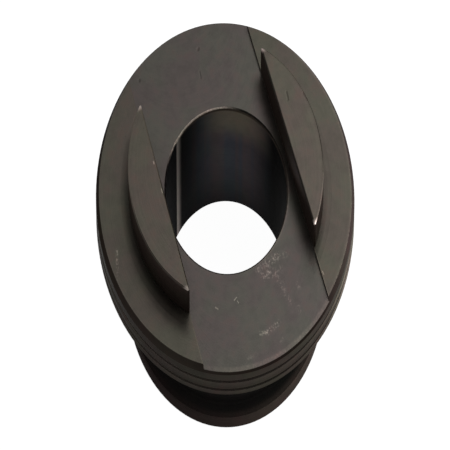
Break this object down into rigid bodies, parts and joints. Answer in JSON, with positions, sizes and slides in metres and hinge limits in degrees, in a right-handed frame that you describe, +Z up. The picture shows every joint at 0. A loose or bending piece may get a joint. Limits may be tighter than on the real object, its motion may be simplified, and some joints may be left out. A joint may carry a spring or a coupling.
{
  "type": "bushing",
  "caption": "Turned steel bushing with a grooved sealing head, crescent drive lugs across a milled channel, a slim waist and a flanged foot round a plain through bore.",
  "frame": {"origin": "centre of the foot's flat underside", "axes": "+Z up the bore, from the foot to the lugs; the milled channel runs along Y and the lugs lie on the +X and -X sides"},
  "size_m": [0.05, 0.05, 0.0367],
  "materials": {
    "blackened_steel": "chemically blackened, oiled, fine turning and milling marks"
  },
  "bodies": {
    "root": {"bushing": "blackened_steel"}
  },
  "joints": []
}
